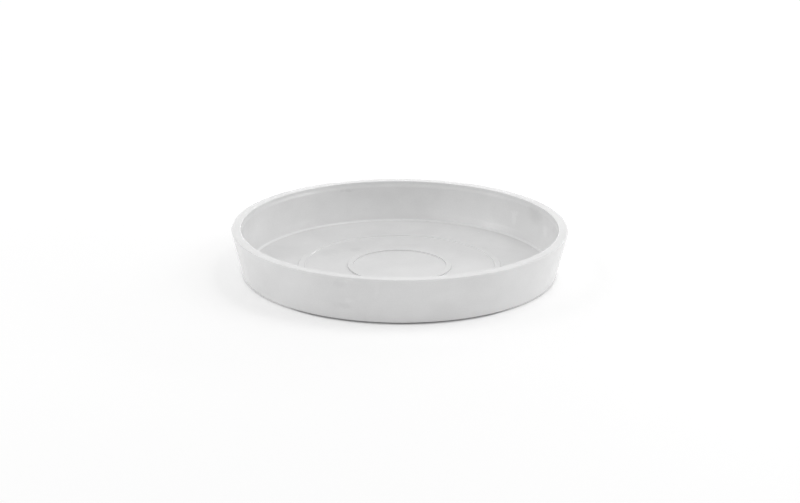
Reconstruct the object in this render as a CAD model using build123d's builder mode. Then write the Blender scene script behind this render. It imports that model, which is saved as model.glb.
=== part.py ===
from build123d import *
import os

# Plant saucer: one moulded dish that stands on soft pads.
# Millimetres, +Z up, origin on the ground under the centre of the dish.

# Overall sizes, with the dish standing on its pads
rim_diameter = 250.0
overall_height = 35.0
wall_flare = 8.0  # how far the wall leans out from its foot to the rim

# Walls
rim_width = 6.9
wall_foot_width = 3.6
floor_thickness = 2.7

# Soft step just below the rim, on the inside
lip_depth = 2.2
lip_step = 0.55
lip_run = 2.4  # height over which the step slopes inwards

# Inner wall: upright above the bend, leaning in below it
bend_height = 13.0  # above the floor
bend_draft = 0.15
bend_rounding = 50.0

# Raised rings on the floor, which hold a pot clear of the water
inner_ring_radius = 38.9
outer_ring_radius = 75.5
ring_width = 4.0
ring_height = 0.9
inner_ring_slope = 0.05  # how far each side of the ring spreads to its foot
outer_ring_slope = 0.6

# Roundings of the moulding
rim_outer_rounding = 0.6
rim_inner_rounding = 0.4
lip_rounding = 3.0
floor_rounding = 2.0
foot_rounding = 0.4
ring_rounding = 0.15

# Moulding gate, a shallow dimple with a stub in it, under the middle of the floor
dimple_radius = 7.0
dimple_depth = 0.7
stub_radius = 1.6
stub_height = 0.4

# Pads, each stuck in a shallow round seat under the floor
pad_count = 6
pad_radius = 9.0
pad_thickness = 2.0
pad_rounding = 0.5
pad_inset = 21.0  # from the foot of the wall to the pad's centre
seat_depth = 0.9
seat_clearance = 0.3

# Places that follow from the sizes
rim_radius = rim_diameter / 2
base_radius = rim_radius - wall_flare
lip_radius = rim_radius - rim_width
floor_radius = base_radius - wall_foot_width
underside = pad_thickness - seat_depth
floor_top = underside + floor_thickness
lip_bottom = overall_height - lip_depth
step_radius = lip_radius - lip_step
pad_circle_radius = base_radius - pad_inset

os.makedirs("parts", exist_ok=True)

# Dish: the section is turned about the upright axis
with BuildPart() as saucer:
    with BuildSketch(Plane.XZ):
        with BuildLine():
            FilletPolyline(
                (0, underside),
                (base_radius, underside),
                (rim_radius, overall_height),
                (lip_radius, overall_height),
                (lip_radius, lip_bottom),
                (step_radius, lip_bottom - lip_run),
                (step_radius - bend_draft, floor_top + bend_height),
                (floor_radius, floor_top),
                (0, floor_top),
                radius=[
                    foot_rounding,
                    rim_outer_rounding,
                    rim_inner_rounding,
                    lip_rounding,
                    lip_rounding,
                    bend_rounding,
                    floor_rounding,
                ],
            )
            Line((0, floor_top), (0, underside))
        make_face()
    revolve(axis=Axis.Z)

    # Raised rings, with the upper edges rounded
    for ring_radius, slope in (
        (inner_ring_radius, inner_ring_slope),
        (outer_ring_radius, outer_ring_slope),
    ):
        with BuildSketch(Plane.XZ):
            with BuildLine():
                Polyline(
                    (ring_radius + slope, floor_top),
                    (ring_radius, floor_top + ring_height),
                    (ring_radius - ring_width, floor_top + ring_height),
                    (ring_radius - ring_width - slope, floor_top),
                    close=True,
                )
            make_face()
        revolve(axis=Axis.Z)
        ring_top = saucer.faces(Select.LAST).sort_by(Axis.Z)[-1]
        fillet(ring_top.edges(), ring_rounding)

    # Seats for the pads
    with BuildSketch(Plane.XY.offset(underside)):
        with PolarLocations(pad_circle_radius, pad_count):
            Circle(pad_radius + seat_clearance)
    extrude(amount=seat_depth, mode=Mode.SUBTRACT)

    # Gate dimple, and the stub that hangs from its roof
    with BuildSketch(Plane.XY.offset(underside)):
        Circle(dimple_radius)
    extrude(amount=dimple_depth, mode=Mode.SUBTRACT)
    with BuildSketch(Plane.XY.offset(underside + dimple_depth)):
        Circle(stub_radius)
    extrude(amount=-stub_height)

saucer.part.label = "saucer"
export_step(saucer.part, "parts/saucer.step")

# Pads: one round disc in each seat, rounded where it meets the ground
for number, spot in enumerate(PolarLocations(pad_circle_radius, pad_count).locations, start=1):
    with BuildPart() as foot_pad:
        with BuildSketch(Plane(spot)):
            Circle(pad_radius)
        extrude(amount=pad_thickness)
        fillet(foot_pad.edges().group_by(Axis.Z)[0], pad_rounding)
    foot_pad.part.label = f"foot_pad_{number}"
    export_step(foot_pad.part, f"parts/foot_pad_{number}.step")
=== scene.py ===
import bpy
import bmesh
import math
from mathutils import Matrix, Vector

# Plant saucer in a white studio. Metres, +Z up, origin on the ground under the dish
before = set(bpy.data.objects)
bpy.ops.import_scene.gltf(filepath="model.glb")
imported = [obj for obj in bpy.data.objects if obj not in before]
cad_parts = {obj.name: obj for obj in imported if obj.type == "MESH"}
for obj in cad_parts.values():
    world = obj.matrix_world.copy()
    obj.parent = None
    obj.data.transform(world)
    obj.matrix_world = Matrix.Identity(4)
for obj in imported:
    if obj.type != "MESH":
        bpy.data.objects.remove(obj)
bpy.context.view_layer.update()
print("frame loaded")

middle = 0.5  # mean value of a noise


# Shader wiring: sums and products of node outputs are written as Python expressions
class Wire:
    def __init__(self, graph, socket):
        self.graph = graph
        self.socket = socket

    def __add__(self, other):
        return self.graph.math("ADD", self, other)

    def __sub__(self, other):
        return self.graph.math("SUBTRACT", self, other)

    def __rsub__(self, other):
        return self.graph.math("SUBTRACT", other, self)

    def __mul__(self, other):
        return self.graph.math("MULTIPLY", self, other)

    def __truediv__(self, other):
        return self.graph.math("DIVIDE", self, other)

    def __rtruediv__(self, other):
        return self.graph.math("DIVIDE", other, self)

    __radd__ = __add__
    __rmul__ = __mul__


class Graph:
    def __init__(self, owner):
        owner.use_nodes = True
        self.tree = owner.node_tree
        self.tree.nodes.clear()

    def add(self, kind, settings=None, inputs=None, out=0):
        node = self.tree.nodes.new(kind)
        for key, value in (settings or {}).items():
            setattr(node, key, value)
        for key, value in (inputs or {}).items():
            socket = self.find(node.inputs, key)
            if isinstance(value, Wire):
                self.tree.links.new(value.socket, socket)
            else:
                socket.default_value = value
        return Wire(self, self.find(node.outputs, out)) if node.outputs else node

    def find(self, sockets, key):
        if isinstance(key, int):
            return sockets[key]
        return next(s for s in sockets if key in (s.identifier, s.name) and s.enabled)

    def math(self, operation, first, second):
        return self.add("ShaderNodeMath", {"operation": operation}, {0: first, 1: second})

    def vector(self, operation, first, second=(0, 0, 0)):
        return self.add("ShaderNodeVectorMath", {"operation": operation}, {0: first, 1: second})

    def length(self, vector):
        return self.add("ShaderNodeVectorMath", {"operation": "LENGTH"}, {0: vector}, "Value")

    def place(self):
        return self.add("ShaderNodeTexCoord", None, None, "Object")

    def along(self, axis, place):
        return self.add("ShaderNodeSeparateXYZ", None, {0: place}, axis)

    def fade(self, value, start, end):  # 0 before start, 1 after end, smooth between
        return self.add("ShaderNodeMapRange", {"interpolation_type": "SMOOTHSTEP"},
                        {"Value": value, "From Min": start, "From Max": end}, "Result")

    def noise(self, place, look, out="Fac"):
        return self.add("ShaderNodeTexNoise", None, {
            "Vector": place, "Scale": 1 / look["size"], "Detail": look["detail"],
            "Roughness": look.get("rough", 0.5)}, out)

    def patches(self, place, look):  # where a noise passes its two edges
        return self.fade(self.noise(place, look), *look["edges"])

    def tint(self, look, level):  # the body's grey, lighter or darker by the level
        body, contrast = look["body"], look["contrast"]
        return self.add("ShaderNodeMix", {"data_type": "RGBA"}, {
            "Factor_Float": 0.5 + level / (2 * contrast),
            "A_Color": grey(body * (1 - contrast)),
            "B_Color": grey(body * (1 + contrast))}, "Result_Color")

    def bump(self, height, deep, under=None):
        inputs = {"Height": height, "Distance": deep, "Strength": 1.0}
        if under:
            inputs["Normal"] = under
        return self.add("ShaderNodeBump", None, inputs, "Normal")

    def seen(self):  # 1 for what the camera sees, straight or in a reflection, 0 for stray light
        rays = [self.add("ShaderNodeLightPath", None, None, f"Is {kind} Ray")
                for kind in ("Camera", "Glossy", "Transmission")]
        return self.math("MAXIMUM", self.math("MAXIMUM", rays[0], rays[1]), rays[2])


def grey(level):
    return (level, level, level, 1)


def newMaterial(name):
    material = bpy.data.materials.new(name)
    return material, Graph(material)


def dress(node, material):  # a CAD node keeps its mesh and takes this finish
    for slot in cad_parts[node].material_slots:
        slot.material = material


def newObject(name, data):
    thing = bpy.data.objects.new(name, data)
    bpy.context.scene.collection.objects.link(thing)
    return thing


def turned(degrees, axis):  # a turn about one axis
    return Matrix.Rotation(math.radians(degrees), 4, axis)


# Camera, set at the photograph's angle
photoCamera = {
    "place": (0.0, -1.41894, 0.48315),
    "lens": 90.0,
    "sensor": 36.0,
    "nearest": 0.01,
    "pitch": 18.272,  # degrees below level
    "yaw": -0.0097,
    "roll": 0.31,
}

lens = bpy.data.cameras.new("photoCamera")
lens.lens = photoCamera["lens"]
lens.sensor_width = photoCamera["sensor"]
lens.clip_start = photoCamera["nearest"]
camera = newObject("photoCamera", lens)
camera.matrix_world = (
    Matrix.Translation(photoCamera["place"]) @ turned(photoCamera["yaw"], "Z")
    @ turned(90 - photoCamera["pitch"], "X") @ turned(photoCamera["roll"], "Z"))
bpy.context.scene.camera = camera
print("camera set")

# Moulded dish: satin plastic, pale grey, with the marks of use, painted shade on the upper inner
# wall and a painted highlight line in the corner. Sizes, heights and radii are metres. Tones are
# parts of the body's own grey, and dull adds to its roughness
dishFinish = {
    "body": 0.82,
    "contrast": 0.18,  # the furthest that the tones take it, either way
    "roughness": 0.20,
    "ior": 1.5,
    # from the mould: clouds, specks, uneven gloss, waves and grain
    "cloud": {"size": 0.034, "detail": 3.0, "rough": 0.55, "edges": (0.3, 0.7), "tone": 0.055},
    "speck": {"size": 0.0011, "detail": 2.0, "rough": 0.6, "edges": (0.4, 0.6), "tone": 0.015},
    "gloss": {"size": 0.012, "detail": 4.0, "dull": 0.10},
    "wave": {"size": 0.030, "detail": 1.0, "deep": 0.00005},
    "grain": {"size": 0.0007, "detail": 2.0, "deep": 0.000012},
    # rubbed in patches: the rim's two edges, each a circle given by its radius and height
    "rubbed": {"size": 0.015, "detail": 4.0, "rough": 0.6, "edges": (0.40, 0.65)},
    "rimEdges": {"circles": [(0.1246, 0.0346), (0.1183, 0.0347)], "width": 0.0011,
                 "tone": 0.02, "dull": 0.06},
    "core": 0.4,  # part of a line's width that has its full tone
    # dust above the foot, painted shade on the inner wall's upper part, a painted highlight line
    # in the corner, and the rings' tops
    "dust": {"heights": (0.0035, 0.001), "tone": -0.06},
    # painted shade: the inner wall darker towards the rim, fading in from the first height to
    # the second
    "upperWallShade": {"heights": (0.0150, 0.0330), "radii": (0.1190, 0.1184), "top": (0.0348, 0.0340),
             "tone": -0.065},
    # painted highlight: a light line round the corner of floor and inner wall
    "cornerHighlight": {"circle": (0.1129, 0.0040), "width": 0.0014, "tone": 0.11},
    "seats": {"heights": (0.0045, 0.0049), "radii": (0.09, 0.08), "dull": 0.07},
    # hair scratches that run round the dish, in patches; around sets how soon each one ends
    "hair": {"size": 1.0, "detail": 1.0, "edges": (0.62, 0.70), "width": 0.0006, "around": 9.0,
             "tone": -0.02, "dull": 0.06, "deep": 0.5},
    "hairPatch": {"size": 0.018, "detail": 2.0, "edges": (0.5, 0.62)},
    # smudges and rubbed places
    "ragged": {"size": 0.005, "detail": 3.0, "rough": 0.6, "reach": (0.012, 0.012, 0.006)},
    "markEdges": (1.1, 0.3),  # half sizes from a mark's centre
    "marks": [  # place, half sizes, tone
        ((0.1045, 0.0535, 0.0268), (0.012, 0.014, 0.0075), -0.075),
        ((0.1113, 0.0367, 0.0200), (0.006, 0.007, 0.0050), 0.060),
        ((0.0897, 0.0752, 0.0183), (0.003, 0.003, 0.0090), 0.050),
        ((-0.0418, 0.1097, 0.0294), (0.009, 0.004, 0.0020), -0.070),
        ((-0.0528, 0.0295, 0.0038), (0.013, 0.011, 0.0020), -0.045),
        ((-0.0339, 0.0372, 0.0038), (0.006, 0.007, 0.0020), -0.050),
        ((-0.0110, 0.0549, 0.0038), (0.009, 0.009, 0.0020), 0.030),
        ((0.0083, 0.0478, 0.0038), (0.010, 0.006, 0.0020), -0.030),
        ((-0.0414, -0.1164, 0.0289), (0.007, 0.004, 0.0035), -0.040),
        ((-0.0358, -0.1192, 0.0328), (0.006, 0.004, 0.0015), 0.035),
        ((-0.0165, -0.1224, 0.0270), (0.003, 0.004, 0.0080), 0.030),
        ((-0.0395, -0.1129, 0.0122), (0.010, 0.005, 0.0030), -0.050),
        ((-0.0345, -0.1157, 0.0169), (0.005, 0.004, 0.0020), 0.040),
        ((0.0297, -0.1178, 0.0203), (0.014, 0.005, 0.0060), 0.015),
    ],
}


def makeDishPlastic(look):
    material, g = newMaterial("satinDishPlastic")
    place = g.place()
    height = g.along("Z", place)
    flat = g.vector("MULTIPLY", place, (1, 1, 0))
    radius = g.length(flat)

    def line(circle, width):  # 1 on a circle round the dish, 0 past its width
        away = g.add("ShaderNodeCombineXYZ", None,
                     {"X": radius - circle[0], "Y": height - circle[1]})
        return g.fade(g.length(away), width, width * look["core"])

    # clouds and specks of the moulding
    cloud, speck = look["cloud"], look["speck"]
    level = (g.patches(place, cloud) - middle) * cloud["tone"]
    level = level + (g.patches(place, speck) - middle) * speck["tone"]

    # smudges and rubbed places, each with a ragged outline
    ragged = look["ragged"]
    shift = g.vector("SUBTRACT", g.noise(place, ragged, "Color"), (middle, middle, middle))
    shifted = g.vector("ADD", place, g.vector("MULTIPLY", shift, ragged["reach"]))
    for centre, halves, tone in look["marks"]:
        away = g.vector("DIVIDE", g.vector("SUBTRACT", shifted, centre), halves)
        level = level + g.fade(g.length(away), *look["markEdges"]) * tone

    # hair scratches
    hair, around = look["hair"], look["hair"]["around"]
    turn = g.vector("MULTIPLY", g.vector("NORMALIZE", flat), (around, around, 0))
    outward = g.add("ShaderNodeCombineXYZ", None, {"Z": (radius + height) / hair["width"]})
    scratch = g.patches(g.vector("ADD", turn, outward), hair)
    scratch = scratch * g.patches(place, look["hairPatch"])
    level = level + scratch * hair["tone"]
    roughness = scratch * hair["dull"]

    # the rim's edges
    rubbed, rim = g.patches(place, look["rubbed"]), look["rimEdges"]
    for circle in rim["circles"]:
        edge = line(circle, rim["width"]) * rubbed
        level = level + edge * rim["tone"]
        roughness = roughness + edge * rim["dull"]

    # painted shade on the upper inner wall, painted highlight in the corner, and dust
    upperWallShade, cornerHighlight, dust = look["upperWallShade"], look["cornerHighlight"], look["dust"]
    # painted shade, darker up the inner wall towards the rim
    inside = g.fade(radius, *upperWallShade["radii"]) * g.fade(height, *upperWallShade["top"])
    level = level + g.fade(height, *upperWallShade["heights"]) * inside * upperWallShade["tone"]
    # painted highlight along the corner
    level = level + line(cornerHighlight["circle"], cornerHighlight["width"]) * cornerHighlight["tone"]
    level = level + g.fade(height, *dust["heights"]) * rubbed * dust["tone"]

    # rings dulled by the pots, and the moulding's uneven gloss
    seats, gloss = look["seats"], look["gloss"]
    tops = g.fade(height, *seats["heights"]) * g.fade(radius, *seats["radii"])
    roughness = roughness + tops * seats["dull"]
    roughness = roughness + (g.noise(place, gloss) - middle) * gloss["dull"] + look["roughness"]

    wave = g.bump(g.noise(place, look["wave"]), look["wave"]["deep"])
    relief = g.noise(place, look["grain"]) - scratch * hair["deep"]
    shader = g.add("ShaderNodeBsdfPrincipled", None, {
        "Base Color": g.tint(look, level), "Roughness": roughness, "IOR": look["ior"],
        "Normal": g.bump(relief, look["grain"]["deep"], wave)})
    g.add("ShaderNodeOutputMaterial", None, {"Surface": shader})
    return material


dress("saucer", makeDishPlastic(dishFinish))
print("dish dressed")

# Pads: soft dark grey rubber
padFinish = {
    "body": 0.21,
    "contrast": 0.5,
    "clean": -0.4,  # tone without dust or wear
    "roughness": 0.75,
    "ior": 1.5,
    "dust": {"size": 0.004, "detail": 4.0, "rough": 0.6, "edges": (0.45, 0.7),
             "tone": 0.5, "dull": 0.15},
    "worn": {"size": 0.002, "detail": 3.0, "edges": (0.4, 0.6), "heights": (0.0007, 0.0002),
             "tone": 0.6},  # the edge that touches the ground
    "grain": {"size": 0.0005, "detail": 3.0, "deep": 0.00003},
}


def makePadRubber(look):
    material, g = newMaterial("softPadRubber")
    place = g.place()
    dust = g.patches(place, look["dust"])
    worn = g.fade(g.along("Z", place), *look["worn"]["heights"]) * g.patches(place, look["worn"])
    level = dust * look["dust"]["tone"] + worn * look["worn"]["tone"] + look["clean"]
    shader = g.add("ShaderNodeBsdfPrincipled", None, {
        "Base Color": g.tint(look, level),
        "Roughness": dust * look["dust"]["dull"] + look["roughness"], "IOR": look["ior"],
        "Normal": g.bump(g.noise(place, look["grain"]), look["grain"]["deep"])})
    g.add("ShaderNodeOutputMaterial", None, {"Surface": shader})
    return material


padRubber = makePadRubber(padFinish)
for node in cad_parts:
    if node.startswith("foot_pad"):
        dress(node, padRubber)
print("pads dressed")

# Studio: white ground, with painted shade under the dish, under a white sky
studioFloor = {
    "size": 12.0,
    "body": 0.94,
    "glow": 0.199,  # only seen, lights nothing
    "clear": (0.1170, 0.1190),  # radii of the painted shade under the dish: no glow within the first, all of it past the second
    "flankReach": (0.45, 0.85),  # x / radius: painted light under the dish's left and right edge, where the glow starts nearer to it, by up to this
    "nearer": 0.005,  # by up to this
}


def makeWhiteGround(look):
    material, g = newMaterial("whiteGround")
    paint = g.add("ShaderNodeBsdfDiffuse", None, {"Color": grey(look["body"])})
    glow = g.add("ShaderNodeEmission", None, {"Color": grey(1.0), "Strength": look["glow"]})
    lit = g.add("ShaderNodeAddShader", None, {0: paint, 1: glow})
    place = g.place()
    radius = g.length(place)
    # painted shade under the dish: no seen glow there, and at its left and right the glow starts
    # nearer, a painted lightening of that shade
    aside = g.length(g.vector("MULTIPLY", place, (1, 0, 0))) / radius
    reach = radius + g.fade(aside, *look["flankReach"]) * look["nearer"]
    factor = g.seen() * g.fade(reach, *look["clear"])
    ground = g.add("ShaderNodeMixShader", None, {0: factor, 1: paint, 2: lit})
    g.add("ShaderNodeOutputMaterial", None, {"Surface": ground})
    return material


floorMesh = bpy.data.meshes.new("studioFloor")
sheet = bmesh.new()
bmesh.ops.create_grid(sheet, x_segments=1, y_segments=1, size=studioFloor["size"] / 2)
sheet.to_mesh(floorMesh)
sheet.free()
floorMesh.materials.append(makeWhiteGround(studioFloor))
floor = newObject("studioFloor", floorMesh)
print("ground laid")

# Soft lamps in rings round the dish, and one overhead
studioLight = {
    "distance": 2.0,
    "ambient": 0.552,  # strength of the sky that lights, in parts of the white one that is seen
    "lamps": {  # turn from +X, height angle, width, height, watts
        "lampTop": (0, 90, 1.0, 1.0, 0.3),
        "lampRightLow": (0, 5.5, 1.65, 0.17, 2.6),
        "lampBackLow": (90, 5.5, 1.65, 0.17, 5.9),
        "lampRightLower": (0, 10.5, 1.63, 0.17, 2.3),
        "lampBackLower": (90, 10.5, 1.63, 0.17, 1.0),
        "lampLeftLower": (180, 10.5, 1.63, 0.17, 2.6),
        "lampBackRight": (45, 15.5, 1.60, 0.17, 2.6),
        "lampLeft": (180, 15.5, 1.60, 0.17, 2.6),
        "lampFrontLeft": (225, 15.5, 1.60, 0.17, 1.6),
        "lampRightRaised": (0, 31.0, 1.42, 0.42, 1.7),
        "lampBackRaised": (90, 31.0, 1.42, 0.42, 0.7),
        "lampRightHigh": (0, 46.0, 1.15, 0.63, 3.1),
        "lampLeftHigh": (180, 46.0, 1.15, 0.63, 3.0),
        "lampRightHigher": (0, 66.0, 0.75, 0.60, 2.4),
        "lampBackRightHigher": (45, 66.0, 0.75, 0.60, 1.6),
    },
}

for name, (turn, rise, width, height, watts) in studioLight["lamps"].items():
    data = bpy.data.lights.new(name, "AREA")
    data.shape = "RECTANGLE"
    data.size = width
    data.size_y = height
    data.energy = watts
    lamp = newObject(name, data)
    place = turned(turn, "Z") @ turned(-rise, "Y") @ Vector((studioLight["distance"], 0, 0))
    aim = place.to_track_quat("Z", "Y").to_matrix().to_4x4()
    lamp.matrix_world = Matrix.Translation(place) @ aim
    lamp.visible_camera = False

world = bpy.data.worlds.new("whiteStudio")
bpy.context.scene.world = world
g = Graph(world)
stray, white = [
    g.add("ShaderNodeBackground", None, {"Color": grey(1.0), "Strength": strength})
    for strength in (studioLight["ambient"], 1.0)]
sky = g.add("ShaderNodeMixShader", None, {0: g.seen(), 1: stray, 2: white})
g.add("ShaderNodeOutputWorld", None, {"Surface": sky})
bpy.context.scene.view_settings.view_transform = "Standard"
print("studio lit")
